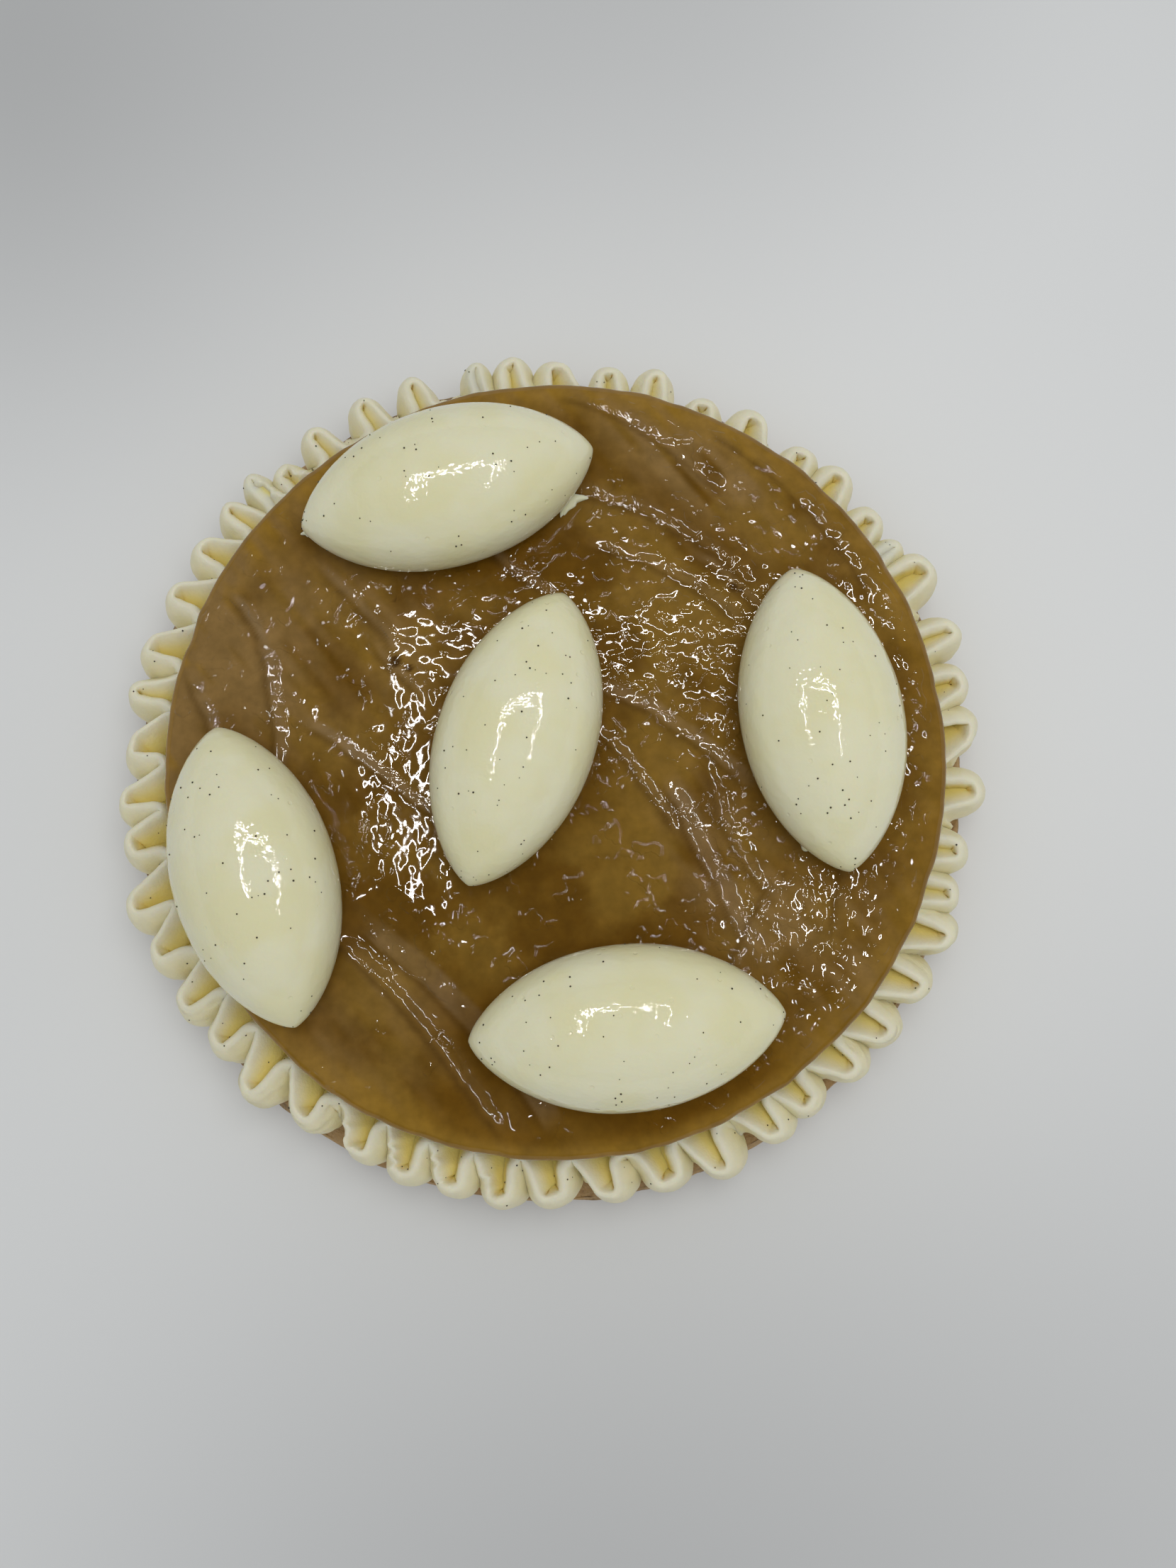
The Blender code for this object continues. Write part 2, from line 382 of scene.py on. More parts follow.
# Slice edges on the top: start, end, bow to the left of that way, width of the edge's face,
# how much higher the left side is (below 0, lower), how milky the face is, and how broken.
SLICE_EDGES = (
    ((-61.6, 8.2), (-25, -18.1), 1.2, 2.6, -0.32, 0.8, 0.4),
    ((14.8, 17.2), (52.3, -8.4), 2.4, 3.4, -0.30, 0.6, 0.35),
    ((-53.3, -45.1), (-9.6, -94.9), 1.8, 4.0, -1.55, 0.05, 0.08),
    ((-45.4, -45.1), (1, -93), 3.0, 5.5, -0.10, 0.45, 0.2),
    ((31.6, -7.8), (52.6, -49.1), -0.6, 4.5, -0.75, 0.6, 0.3),
    ((12.8, 8.3), (34.4, -19.8), 1.0, 2.4, -0.45, 0.25, 0.4),
    ((42.5, -2.9), (56.8, -36.5), -2.0, 2.8, -0.50, 0.10, 1.0),
    ((-73.4, 30.4), (-68.4, -3.4), 1.0, 3.0, -0.60, 0.5, 0.8),
    ((-82, 42.9), (-72.3, 28.3), 1.0, 2.0, 0.20, 0.7, 0.5),
    ((-92.5, 21.2), (-83.7, 1.7), 0.8, 2.6, -0.40, 0.5, 0.7),
    ((-56.5, 47.9), (-37.7, 27), 1.0, 2.2, 0.25, 0.7, 0.8),
    ((-43.9, 30.1), (-29.4, 14.7), -1.0, 1.8, 0.20, 0.45, 0.8),
    ((0.6, 70.6), (53.2, 44.9), 5.0, 3.2, 0.50, 0.12, 0.9),
    ((4.7, 96.2), (47.5, 68), 3.5, 3.0, 0.65, 0.08, 1.0),
    ((44.7, 85), (85.3, 40.5), 4.5, 3.0, 0.75, 0.05, 1.0),
    ((12.9, 54.6), (51.1, 34.6), 3.0, 2.6, 0.38, 0.35, 0.9),
    ((39.2, 52.3), (57.1, 36.6), 1.0, 2.0, 0.25, 0.4, 0.8),
    ((-17.8, 61.2), (2.7, 41.2), -2.0, 2.2, 0.20, 0.4, 0.8),
    ((57.8, -31.7), (39.8, -64.5), 1.5, 2.2, 0.40, 0.2, 1.0),
    ((83.8, -10.1), (73.1, -47.2), -2.0, 2.2, 0.35, 0.1, 1.0),
)
# Which way each quenelle on the disc points, in degrees.
QUENELLES = {
    "quenelle_centre": 72.5,
    "quenelle_right": 99.2,
    "quenelle_front": 5.0,
    "quenelle_left": 106.5,
    "quenelle_back": 15.3,
}
# Small marks: where, radius, and how dark they are.
DARK_MARKS = (
    ((-37.8, 24.7), 1.5, 1.0), ((-34.2, 22.9), 1.0, 0.8), ((49.7, 43.6), 1.1, 1.0),
    ((-38.3, 41), 0.4, 0.9), ((51.4, 42.9), 0.7, 0.7),
)
# Paler patches: where, how long and wide, which way they lie in degrees, how strong (below 0,
# clearer and darker).
PALE_PATCHES = (
    ((-28.3, -65.5), (34, 8), -50, 0.6), ((-75.3, 25.2), (24, 13), 100, 0.9),
    ((-90.2, 13), (26, 12), 92, 1.2), ((-57.7, -66.4), (20, 12), -48, 0.35),
    ((39.5, 76.5), (26, 9), -32, 0.8), ((-50.4, 50), (30, 14), -40, 0.35),
    ((45.2, -23.8), (26, 14), -50, 0.35), ((-87, 37.7), (20, 9), 75, 0.6),
    ((71, -51.1), (34, 18), -48, 0.55), ((-17, -27.5), (50, 36), 0, -0.4),
    ((-4.4, 47.5), (20, 10), 0, -0.5), ((-92, 6.9), (20, 8), 92, 0.8),
)
APPLE_AMBER = (0.228, 0.127, 0.019)
APPLE_BROWN = (0.138, 0.066, 0.006)
APPLE_TAN = (0.252, 0.150, 0.048)
APPLE_RIM = (0.310, 0.172, 0.022)
# The deep amber also serves as the painted shade round the quenelles' feet.
APPLE_DEEP_AND_SHADE = (0.140, 0.062, 0.003)
APPLE_MILK = (0.270, 0.180, 0.090)
# The seam colour also serves as painted shade in the groove along each slice edge.
APPLE_SEAM_AND_SHADE = (0.075, 0.034, 0.006)
JELLY_ROUGHNESS = 0.04
JELLY_IOR = 1.42
JELLY_SWELL = 0.10
JELLY_RIPPLE = 0.15
JELLY_POOL = 0.15


def step(low, high, value):
    share = np.clip((value - low) / (high - low), 0, 1)
    return share * share * (3 - 2 * share)


def by_slice_edge(x, y, edge, index):
    """How far each point is across this edge, and how much the edge still counts there."""
    (x0, y0), (x1, y1), bow = edge[:3]
    length = math.hypot(x1 - x0, y1 - y0)
    ux, uy = (x1 - x0) / length, (y1 - y0) / length
    along = (x - x0) * ux + (y - y0) * uy
    share = np.clip(along / length, 0, 1)
    wander = 0.5 * rough(on_plane(along, 37.0 * index), 7, 21)
    wander += 0.2 * rough(on_plane(along, 9.0 * index), 2, 22)
    across = -(x - x0) * uy + (y - y0) * ux - 4 * bow * share * (1 - share) - wander
    return across, step(-3, 5, along) * step(-3, 5, length - along)


def apple_top(x, y):
    """Height of the top above its plane, and the marks that its colours follow."""
    here = on_plane(x, y)
    height = 0.15 * rough(here, 17, 34) + 0.05 * rough(here, 6.5, 35)
    milk = np.zeros_like(x)
    seam_and_shade = np.zeros_like(x)
    lively = np.zeros_like(x)
    for index, edge in enumerate(SLICE_EDGES):
        width, rise, milky, broken = edge[3:]
        across, counts = by_slice_edge(x, y, edge, index)
        band = step(-0.6, 0.6, across) * step(width + 0.7, width - 0.7, across)
        uneven = 1 + broken * (0.45 * rough(here, 2.4, 37) + 0.3 * rough(here, 7, 38))
        height += counts * rise * uneven * step(0, width, across) * step(width + 18, width, across)
        height -= counts * 0.05 * np.exp(-((across + 0.9) / 0.8) ** 2)
        milk = np.maximum(milk, counts * milky * band * (0.75 + 0.25 * rough(here, 6, 36)))
        # A dark line along each slice edge, in its groove: partly the seam between slices, partly painted
        # shade.
        seam_and_shade = np.maximum(seam_and_shade, 0.45 * counts * np.exp(-((across + 0.7) / 0.9) ** 2))
        lively = np.maximum(lively, counts * np.exp(-((across - 0.5 * width) / (0.5 * width + 0.6)) ** 4))
    for (mx, my), size, dark in DARK_MARKS:
        away = np.hypot(x - mx, y - my) / size
        height -= 0.3 * np.exp(-away**2)
        seam_and_shade = np.maximum(seam_and_shade, 1.6 * dark * np.exp(-away**4))
    return height, milk, seam_and_shade, lively


def quenelle_shade_near(x, y):
    """Painted shade round the quenelles: 1 under their outlines, fading to 0 a few millimetres outside
    them.
    """
    near = np.zeros_like(x)
    for name, heading in QUENELLES.items():
        low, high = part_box(name)
        heading = math.radians(heading)
        dx = x - 500 * (low.x + high.x)
        dy = y - 500 * (low.y + high.y)
        along = (dx * math.cos(heading) + dy * math.sin(heading)) / 38.5
        across = np.abs(-dx * math.sin(heading) + dy * math.cos(heading))
        lemon = 20 * np.clip(1 - np.abs(along) ** 2, 0, 1)
        beyond = np.hypot(np.maximum(across - lemon, 0), 38.5 * np.maximum(np.abs(along) - 1, 0))
        near = np.maximum(near, np.exp(-((beyond / 5.5) ** 1.3)))
    return near


def rim_radius(turn):
    """The disc's outline, with the ring's print: never quite a circle."""
    around = on_plane(np.cos(turn) * 100, np.sin(turn) * 100)
    return DISC_RADIUS - 0.15 + 0.38 * rough(around, 8, 41) + 0.16 * rough(around, 3.5, 42)


bpy.ops.object.select_all(action="DESELECT")
bpy.ops.mesh.primitive_grid_add(
    x_subdivisions=DISC_CELLS, y_subdivisions=DISC_CELLS, size=2, location=(0, 0, 0))
apple = bpy.context.object
apple.name = "apple_confit"
square = places(apple) / 1000
top_count = len(square)
u, v = square[:, 0], square[:, 1]
wide = np.abs(u) >= np.abs(v)
spoke = np.where(wide, u, v)
lean = np.where(wide, v, u) / np.where(np.abs(spoke) < 1e-9, 1, spoke) * math.pi / 4
turn = np.where(wide, lean, math.pi / 2 - lean)
x = spoke * np.cos(turn)
y = spoke * np.sin(turn)
turn = np.arctan2(y, x)
out = np.hypot(x, y)
radius = out * (rim_radius(turn) - DISC_CORNER)
put(apple, np.stack([DISC_X + radius * np.cos(turn), DISC_Y + radius * np.sin(turn),
                     np.full(top_count, DISC_TOP)], 1))
bpy.ops.object.mode_set(mode="EDIT")
bpy.ops.mesh.select_mode(type="EDGE")
bpy.ops.mesh.select_all(action="DESELECT")
bpy.ops.mesh.select_non_manifold()
rings = 6 + DISC_SIDE_RINGS
for ring in range(rings):
    bpy.ops.mesh.extrude_region_move(TRANSFORM_OT_translate={"value": (0, 0, -MM)})
bpy.ops.mesh.edge_face_add()
bpy.ops.object.mode_set(mode="OBJECT")

spots = places(apple)
out_x, out_y = spots[:, 0] - DISC_X, spots[:, 1] - DISC_Y
turn = np.arctan2(out_y, out_x)
radius = np.hypot(out_x, out_y)
ring = np.round(DISC_TOP - spots[:, 2])
is_top = ring < 0.5
height, milk, seam_and_shade, lively = apple_top(spots[:, 0], spots[:, 1])
from_rim = rim_radius(turn) - radius
settle = step(0, 7, from_rim - DISC_CORNER)
droop = 0.22 * step(4.5, 0, from_rim - DISC_CORNER) ** 2
corner = np.clip(ring / 6, 0, 1) * math.pi / 2
side = np.clip((ring - 6) / DISC_SIDE_RINGS, 0, 1)
side_z = (DISC_TOP - 0.7 - DISC_CORNER) * (1 - side) + DISC_FOOT * side
round_z = DISC_TOP - 0.7 - DISC_CORNER * (1 - np.cos(corner))
top_z = DISC_TOP - 0.25 + height * (0.25 + 0.75 * settle) - droop
edge_z = np.where(ring <= 6, round_z, side_z)
edge_z = edge_z + 0.25 * height * np.clip(1 - ring / 6, 0, 1)
around = on_plane(np.cos(turn) * 100, np.sin(turn) * 100)
strata_at = side_z + 1.1 * rough(around, 22, 43)
strata = rough(on_plane(strata_at * 1.0, turn * 9), 1.1, 44)
side_radius = rim_radius(turn) - DISC_CORNER * (1 - np.sin(corner))
side_radius = side_radius + 0.22 * strata * np.clip((ring - 5) / 3, 0, 1) - 0.5 * step(0, 1, side)
radius = np.where(is_top, radius, np.minimum(side_radius, DISC_RADIUS + 0.6))
spots[:, 0] = DISC_X + radius * np.cos(turn)
spots[:, 1] = DISC_Y + radius * np.sin(turn)
spots[:, 2] = np.where(is_top, np.minimum(top_z, DISC_TOP + 0.6), edge_z)
put(apple, spots)
paint(apple, "milk", milk * (0.4 + 0.6 * settle))
paint(apple, "seam_and_shade", np.where(is_top, seam_and_shade, (0.35 - 0.35 * strata) * np.clip((ring - 6) / 3, 0, 1)))
x, y = spots[:, 0], spots[:, 1]
at_rim = (1 - step(1, 10, from_rim - DISC_CORNER)) * (1 - 0.5 * step(30, 90, x))
paint(apple, "rim", np.where(is_top, at_rim, 1 - 0.3 * step(30, 90, x)))
flat = on_plane(x, y)
veil = 0.18 * step(20, -60, x - 0.5 * y)
for (px, py), (long, wide), heading, strength in PALE_PATCHES:
    heading = math.radians(heading)
    along = (x - px) * math.cos(heading) + (y - py) * math.sin(heading)
    across = (y - py) * math.cos(heading) - (x - px) * math.sin(heading)
    veil += strength * np.exp(-((along / long) ** 2) - (across / wide) ** 2)
veil += 0.15
streaks = rough(on_plane((x - 1.2 * y) / 16, (1.2 * x + y) / 3.6), 1.0, 46)
veil *= 0.75 + 0.35 * rough(flat, 9, 45) + 0.75 * streaks
paint(apple, "veil", np.where(is_top, veil, 0))
# Deeper amber: its own tone in the lower middle and in a patch further back, and painted shade round the
# quenelles, which darkens the jelly near their feet.
deep_tone_and_shade = step(-45, -80, y + 0.15 * x) * step(-45, -10, x) * (0.7 + 0.3 * rough(flat, 11, 47))
deep_tone_and_shade += 0.45 * np.exp(-((x + 7) / 15) ** 2 - ((y - 50) / 12) ** 2)
deep_tone_and_shade = deep_tone_and_shade * step(-2, 4, from_rim - DISC_CORNER) + 0.75 * quenelle_shade_near(x, y)
paint(apple, "deep_tone_and_shade", np.where(is_top, deep_tone_and_shade, 0.3))
# The lower left slice is the smoothest; the jelly's beads are thickest to the right and above.
calm = step(12, -4, 0.77 * (x + 33) + 0.64 * (y + 68)) * step(4, -14, y + 20)
beaded = 0.44 + 0.46 * step(42, 14, np.hypot(0.8 * (x - 32), y - 24)) + 0.12 * rough(flat, 15, 48)
beaded -= 0.10 * step(26, 8, np.hypot(x + 31, 0.5 * (y - 4)))
beaded += 0.52 * step(30, 58, x + 0.1 * y) + 0.2 * step(-30, -50, y) * step(10, 40, x)
beaded += 0.4 * np.exp(-((x + 31) / 11) ** 2 - ((y + 46) / 9) ** 2)
beaded = np.maximum(beaded, 0.9 * lively)
beaded = beaded * (1 - 0.93 * calm) * step(0.5, 3.0, from_rim - DISC_CORNER)
paint(apple, "beaded", np.where(is_top, beaded, 0))
bpy.ops.object.shade_smooth()

apple_finish, tree, shader = new_finish("caramel_apple_under_jelly", JELLY_ROUGHNESS)
flesh = mixed(tree, cloud(tree, 45, detail=6, low=0.40, high=0.60), APPLE_AMBER, APPLE_BROWN)
flesh = mixed(tree, painted(tree, "rim"), flesh, APPLE_RIM)
flesh = mixed(tree, painted(tree, "veil"), flesh, APPLE_TAN)
# Deep amber tone, and painted shade round the quenelles.
flesh = mixed(tree, painted(tree, "deep_tone_and_shade"), flesh, APPLE_DEEP_AND_SHADE)
flesh = mixed(tree, painted(tree, "milk"), flesh, APPLE_MILK)
# Dark seams, strata and marks, with painted shade in the grooves along the slice edges.
flesh = mixed(tree, painted(tree, "seam_and_shade"), flesh, APPLE_SEAM_AND_SHADE)
mottle = cloud(tree, 150, detail=8, low=0.27, high=0.73)
flesh = mixed(tree, 0.18, flesh, mixed(tree, mottle, (0.45, 0.42, 0.30), (1.5, 1.5, 1.6)), "MULTIPLY")
fibre = cloud(tree, 420, detail=5, low=0.2, high=0.8)
flesh = mixed(tree, 0.14, flesh, mixed(tree, fibre, (0.35, 0.35, 0.35), (1.7, 1.7, 1.7)), "MULTIPLY")
tree.links.new(flesh, shader.inputs["Base Color"])
shader.inputs["IOR"].default_value = JELLY_IOR
# The jelly's relief, in millimetres: swells, ripples that rise the more it is beaded, and thin
# flat-topped pools with steep edges, in patches that then join up.
swells = maths(tree, "MULTIPLY", cloud(tree, 130, detail=0.5, low=0.2, high=0.8), JELLY_SWELL)
ripples = maths(tree, "MULTIPLY", cloud(tree, 260, detail=0.8, low=0.2, high=0.8), JELLY_RIPPLE)
beaded = painted(tree, "beaded")
lift = maths(tree, "MULTIPLY", maths(tree, "POWER", beaded, 1.6), 1.5)
ripples = maths(tree, "MULTIPLY", ripples, maths(tree, "ADD", lift, 0.12))
pools = maths(tree, "MULTIPLY", cloud(tree, 230, detail=1.6, low=0.50, high=0.58), JELLY_POOL)
patches = maths(tree, "MULTIPLY", maths(tree, "SUBTRACT", beaded, 1.0), 0.5)
patches = maths(tree, "ADD", cloud(tree, 120, detail=1.0, low=0.0, high=1.0), patches)
pools = maths(tree, "MULTIPLY", pools, ramp(tree, patches, 0.20, 0.32))
relief = maths(tree, "ADD", maths(tree, "ADD", swells, ripples), pools)
bumped(tree, shader, relief, MM)
apple.data.materials.append(apple_finish)
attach(apple, "root")
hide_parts("apple_disc")

# ---------------------------------------------------------------- piped ruffle
# Whipped vanilla cream, piped in one run on the pastry's rim with a petal tube held on end:
# the hand goes out and in, so that the band stands in loops, thick at its foot and thin on
# top. The top leans on the loop before, which opens each loop's hollow like a spoon.
RUFFLE_X, RUFFLE_Y = 0.4, -0.9
RUFFLE_CREST = 29.0
RUFFLE_FOOT = PASTRY_TOP + 0.3
CREST_JITTER = 0.5
# The loops in turn: the angle of the tip, how far out the crest goes there, how open the
# hollow is, from 0 (shut) to 3, and how far the loop leans on the one before, from 0 to 3.
LOOPS = (
    (4.9, 112.5, 3, 3), (11.0, 112.0, 2, 1), (17.9, 114.0, 1, 0), (27.0, 115.0, 3, 0),
    (31.9, 110.5, 0, 0), (36.8, 110.5, 2, 1), (44.4, 112.5, 2, 1), (50.1, 110.0, 1, 0),
    (59.0, 111.0, 2, 2), (66.0, 108.0, 1, 0), (74.1, 112.0, 1, 1), (80.6, 110.0, 1, 0),
    (88.6, 110.5, 2, 2), (94.8, 112.0, 1, 0), (100.0, 112.0, 0, 0), (109.2, 113.0, 1, 1),
    (116.7, 112.5, 1, 1), (124.7, 112.0, 1, 1), (131.2, 108.5, 1, 0), (135.6, 113.0, 0, 0),
    (140.6, 112.5, 1, 1), (147.4, 111.5, 2, 2), (154.8, 111.5, 2, 2), (163.2, 112.0, 2, 3),
    (169.4, 112.5, 1, 1), (177.6, 110.5, 3, 3), (184.7, 112.5, 2, 2), (190.6, 112.0, 3, 1),
    (199.0, 115.0, 3, 2), (206.0, 113.0, 2, 2), (213.7, 113.0, 2, 2), (220.4, 111.5, 2, 2),
    (227.7, 114.0, 2, 2), (235.5, 110.5, 3, 2), (244.2, 110.5, 2, 2), (250.7, 111.5, 2, 1),
    (257.3, 111.0, 2, 1), (263.9, 112.0, 2, 1), (270.5, 111.0, 2, 0), (278.7, 111.0, 2, 2),
    (286.1, 111.5, 2, 0), (293.7, 113.5, 2, 2), (302.1, 112.0, 2, 2), (307.4, 111.0, 2, 1),
    (315.0, 112.0, 2, 2), (321.5, 112.5, 2, 2), (328.8, 113.0, 2, 2), (336.3, 113.5, 2, 2),
    (341.5, 111.0, 1, 0), (347.5, 110.5, 1, 0), (356.1, 113.5, 2, 1),
)
# For each lean: how far the leg before and the leg after the tip stand off from it, and how far
# the top falls back. For each openness: the share of those widths, and the hollow's depth.
LEG_BEFORE = (5.2, 6.0, 7.3, 8.8)
LEG_AFTER = (4.4, 3.2, 2.3, 1.6)
FALL_BACK = (0.3, 1.0, 2.2, 2.9)
OPENNESS = (0.45, 0.74, 1.0, 1.15)
HOLLOW_DEPTH = (0.9, 5.5, 6.6, 6.8)
FOLD_RADIUS = 101.2  # where the band turns back beside the apple
WIDE_FOLDS = {26: 0.6, 27: 1.2, 28: 0.6, 29: 3.3, 40: 0.6, 43: 0.8}
CURL_IN = 1.1  # the top's curl towards the apple, at a loop's tip
# How far the band stands off from its crest on each side, at depths under the crest.
DEPTHS = (0, 0.15, 0.4, 0.8, 1.5, 3.0, 5.0, 8.0, 12.0, 16.0, 21.0)
OUTER = (0, 0.48, 0.80, 1.10, 1.45, 2.05, 2.65, 3.30, 3.8, 4.1, 3.9)
INNER_BEFORE = (0, 0.42, 0.68, 0.98, 1.40, 2.30, 3.40, 4.60, 5.3, 5.6, 5.6)
INNER_AFTER = (0, 0.60, 1.05, 1.45, 1.80, 2.25, 2.50, 2.90, 3.5, 3.9, 3.9)
RING_DEPTHS = (20.7, 18.6, 16.2, 13.6, 11.2, 9.0, 7.2, 5.7, 4.4, 3.3, 2.3, 1.5, 0.9, 0.45, 0.15)
STATIONS = (7, 7, 6, 6, 5, 6, 7, 7)  # points along each of a loop's eight stretches
# Where the crest's edge broke as it was piped, and where the skirts show the tube's drag.
BROKEN = ((239, 263), (128, 137))
# Between most loops a web of cream runs out over the pastry; at these degrees it doesn't.
BARE_CUSPS = (149, 155.5, 164, 191.5, 214, 221, 229.5, 245, 273.5, 281)
WEB_REACH = 5.0
DRAGGED = ((212, 238), (308, 338))


def legs_of(k):
    """How far loop k's two legs stand off from its tip."""
    hollow, lean = LOOPS[k % len(LOOPS)][2:]
    return OPENNESS[hollow] * LEG_BEFORE[lean], OPENNESS[hollow] * LEG_AFTER[lean]


def loop_corners(k):
    """The points that loop k is drawn through: millimetres across from its tip, and radius."""
    angle, tip = LOOPS[k][:2]
    gaps = (angle - LOOPS[k - 1][0], LOOPS[(k + 1) % len(LOOPS)][0] - angle)
    back, ahead = (math.radians(gap % 360) * tip for gap in gaps)
    before, after = legs_of(k)
    before *= min(1, (back - 3.2) / (before + legs_of(k - 1)[1]))
    after *= min(1, (ahead - 3.2) / (after + legs_of(k + 1)[0]))
    fold_back = (back + before - legs_of(k - 1)[1]) / 2
    fold = FOLD_RADIUS + WIDE_FOLDS.get(k, 0)
    rise = tip - fold
    return (
        (-fold_back, fold, 0.5),
        (-before, fold + 0.22 * rise, 1),
        (-0.62 * before, tip - 0.37 * rise, 1),
        (-0.38 * before, tip - 0.09 * rise, 0.8),
        (0, tip, 0.5),
        (0.76 * after, tip - 0.10 * rise, 0.2),
        (after, tip - 0.37 * rise, 0),
        (after, fold + 0.22 * rise, 0),
    )


def smoothed(values, times):
    """The same values round the ring, each drawn towards its neighbours."""
    for _ in range(times):
        values = 0.5 * values + 0.25 * (np.roll(values, 1, 0) + np.roll(values, -1, 0))
    return values


def within(turn, stretches):
    """1 inside these stretches of the ring, in degrees, fading over a degree outside them."""
    degrees = np.degrees(turn) % 360
    return np.maximum.reduce([step(low - 1, low, degrees) * step(high + 1, high, degrees)
                              for low, high in stretches])


# A smooth curve through all the corners: x, y, height of the crest, how much it belongs to a
# leg before a tip, how far the top falls back, depth of hollow, and nearness to a tip.
chance = random.Random(11)
corners = []
for k, (angle, tip, hollow, lean) in enumerate(LOOPS):
    crest = RUFFLE_CREST + chance.uniform(-CREST_JITTER, CREST_JITTER)
    for across, radius, share in loop_corners(k):
        around = math.radians(angle) + across / tip
        out = (radius - FOLD_RADIUS) / (tip - FOLD_RADIUS)
        corners.append((radius * math.cos(around), radius * math.sin(around), crest, share,
                        FALL_BACK[lean], HOLLOW_DEPTH[hollow], out))
corners = np.array(corners)
line = []
for i in range(len(corners)):
    p0, p1, p2, p3 = (corners[(i + j) % len(corners)] for j in (-1, 0, 1, 2))
    for j in range(STATIONS[i % len(STATIONS)]):
        t = j / STATIONS[i % len(STATIONS)]
        line.append(0.5 * (2 * p1 + (p2 - p0) * t + (2 * p0 - 5 * p1 + 4 * p2 - p3) * t**2
                           + (3 * p1 - p0 - 3 * p2 + p3) * t**3))
line = np.array(line)
path = smoothed(line[:, :2], 2)
crest_line = smoothed(line[:, 2], 12)
before = np.clip(line[:, 3], 0, 1)
fall_back = smoothed(line[:, 4], 10)
hollow_depth = smoothed(line[:, 5], 10)
at_tip = step(0.2, 0.95, line[:, 6])
stations = len(path)
ahead = np.roll(path, -1, 0) - np.roll(path, 1, 0)
ahead /= np.linalg.norm(ahead, axis=1)[:, None]
left = np.stack([-ahead[:, 1], ahead[:, 0]], 1)
stride = np.linalg.norm(np.roll(path, -1, 0) - path, axis=1)
bend_by = np.roll(ahead, -1, 0) - np.roll(ahead, 1, 0)
bend = smoothed((bend_by * left).sum(1) / (stride + np.roll(stride, 1)), 2)
bow_radius = 1 / np.maximum(np.abs(bend), 1e-3)
outward = path / np.linalg.norm(path, axis=1)[:, None]
onward = np.stack([-outward[:, 1], outward[:, 0]], 1)
turn = np.arctan2(path[:, 1], path[:, 0])
run = np.cumsum(stride)
broken = within(turn, BROKEN) * step(0.35, 0.9, before)
dragged = within(turn, DRAGGED)
webbed = 1 - within(turn, [(cusp - 1.5, cusp + 1.5) for cusp in BARE_CUSPS])
webbed *= step(0.75, 0.05, line[:, 6])

ring_count = 2 * len(RING_DEPTHS) + 2
bpy.ops.object.select_all(action="DESELECT")
bpy.ops.mesh.primitive_grid_add(
    x_subdivisions=ring_count, y_subdivisions=stations, size=1, location=(0, 0, 0))
ruffle = bpy.context.object
ruffle.name = "piped_ruffle"
path_points = on_plane(path[:, 0], path[:, 1])
crest_line = crest_line + 0.35 * rough(path_points, 6, 51)
crest_line -= broken * (0.6 + 0.9 * rough(path_points, 1.7, 57))
sections, crest_light_marks, hollow_shade_marks = [], [], []
for i in range(ring_count):
    # From the foot in the hollow up over the crest and down outside, then under the foot.
    if i < len(RING_DEPTHS):
        depth, side = RING_DEPTHS[i], 1
    elif i == len(RING_DEPTHS):
        depth, side = 0.0, 0
    elif i <= 2 * len(RING_DEPTHS):
        depth, side = RING_DEPTHS[2 * len(RING_DEPTHS) - i], -1
    else:
        depth, side = 20.7, 0
    half = np.full(stations, np.interp(depth, DEPTHS, OUTER))
    if side > 0:
        half = before * np.interp(depth, DEPTHS, INNER_BEFORE)
        half += (1 - before) * np.interp(depth, DEPTHS, INNER_AFTER)
        half = np.minimum(half, 2.6 + 0.6 * hollow_depth)
    half = half * (1 + 0.10 * rough(on_plane(path[:, 0], path[:, 1], depth), 7, 52))
    room = bow_radius * np.interp(depth, (1.5, 6), (0.6, 1.1))
    tight = half / (1 + (half / room) ** 4) ** 0.25
    offset = np.where(bend * side > 0, tight, half) * side
    if side < 0 and depth > 0.5:
        offset -= 0.42 * dragged * rough(on_plane(run / 5, depth), 0.8, 58)
    offset += broken * math.exp(-depth / 1.5) * 0.9 * rough(path_points, 1.4, 59)
    spot = path + offset[:, None] * left
    curl = CURL_IN * (1 - math.exp(-depth / 6))
    fall = fall_back * (1 - math.exp(-depth / 5))
    spot = spot + (curl * at_tip)[:, None] * outward + fall[:, None] * onward
    if side < 0:
        web = WEB_REACH * webbed * step(1.5, 13, depth) * (1 + 0.2 * rough(path_points, 3, 60))
        spot += web[:, None] * outward
    top = crest_line - depth
    if side > 0:
        top = crest_line - hollow_depth * (1 - np.exp(-depth / hollow_depth))
    if depth > 20:
        top = np.full(stations, RUFFLE_FOOT)
    sections.append(np.column_stack([spot, np.maximum(top, RUFFLE_FOOT)]))
    # Painted light: the crest is painted whiter, where light falls on it.
    crest_light_marks.append(np.full(stations, math.exp(-depth / 1.2)))
    # Painted shade: the hollows are painted yellower and darker the deeper they go.
    hollow_shade_marks.append(np.full(stations, min(depth / 4.0, 1) * (1.0 if side > 0 else 0.0)))
for rows in (sections, crest_light_marks, hollow_shade_marks):
    rows.append(rows[0])
closed = [np.stack(rows, 1) for rows in (sections, crest_light_marks, hollow_shade_marks)]
spots, crest_light_marks, hollow_shade_marks = [np.concatenate([rows, rows[:1]]) for rows in closed]
spots = spots.reshape(-1, 3)
spots[:, 0] += RUFFLE_X
spots[:, 1] += RUFFLE_Y
above_foot = np.clip((spots[:, 2] - RUFFLE_FOOT) / 2, 0, 1)
spots[:, 0] += (0.08 * rough(spots, 1.9, 53) + 0.22 * rough(spots, 5, 54)) * above_foot
spots[:, 1] += (0.08 * rough(spots, 1.9, 55) + 0.22 * rough(spots, 5, 56)) * above_foot
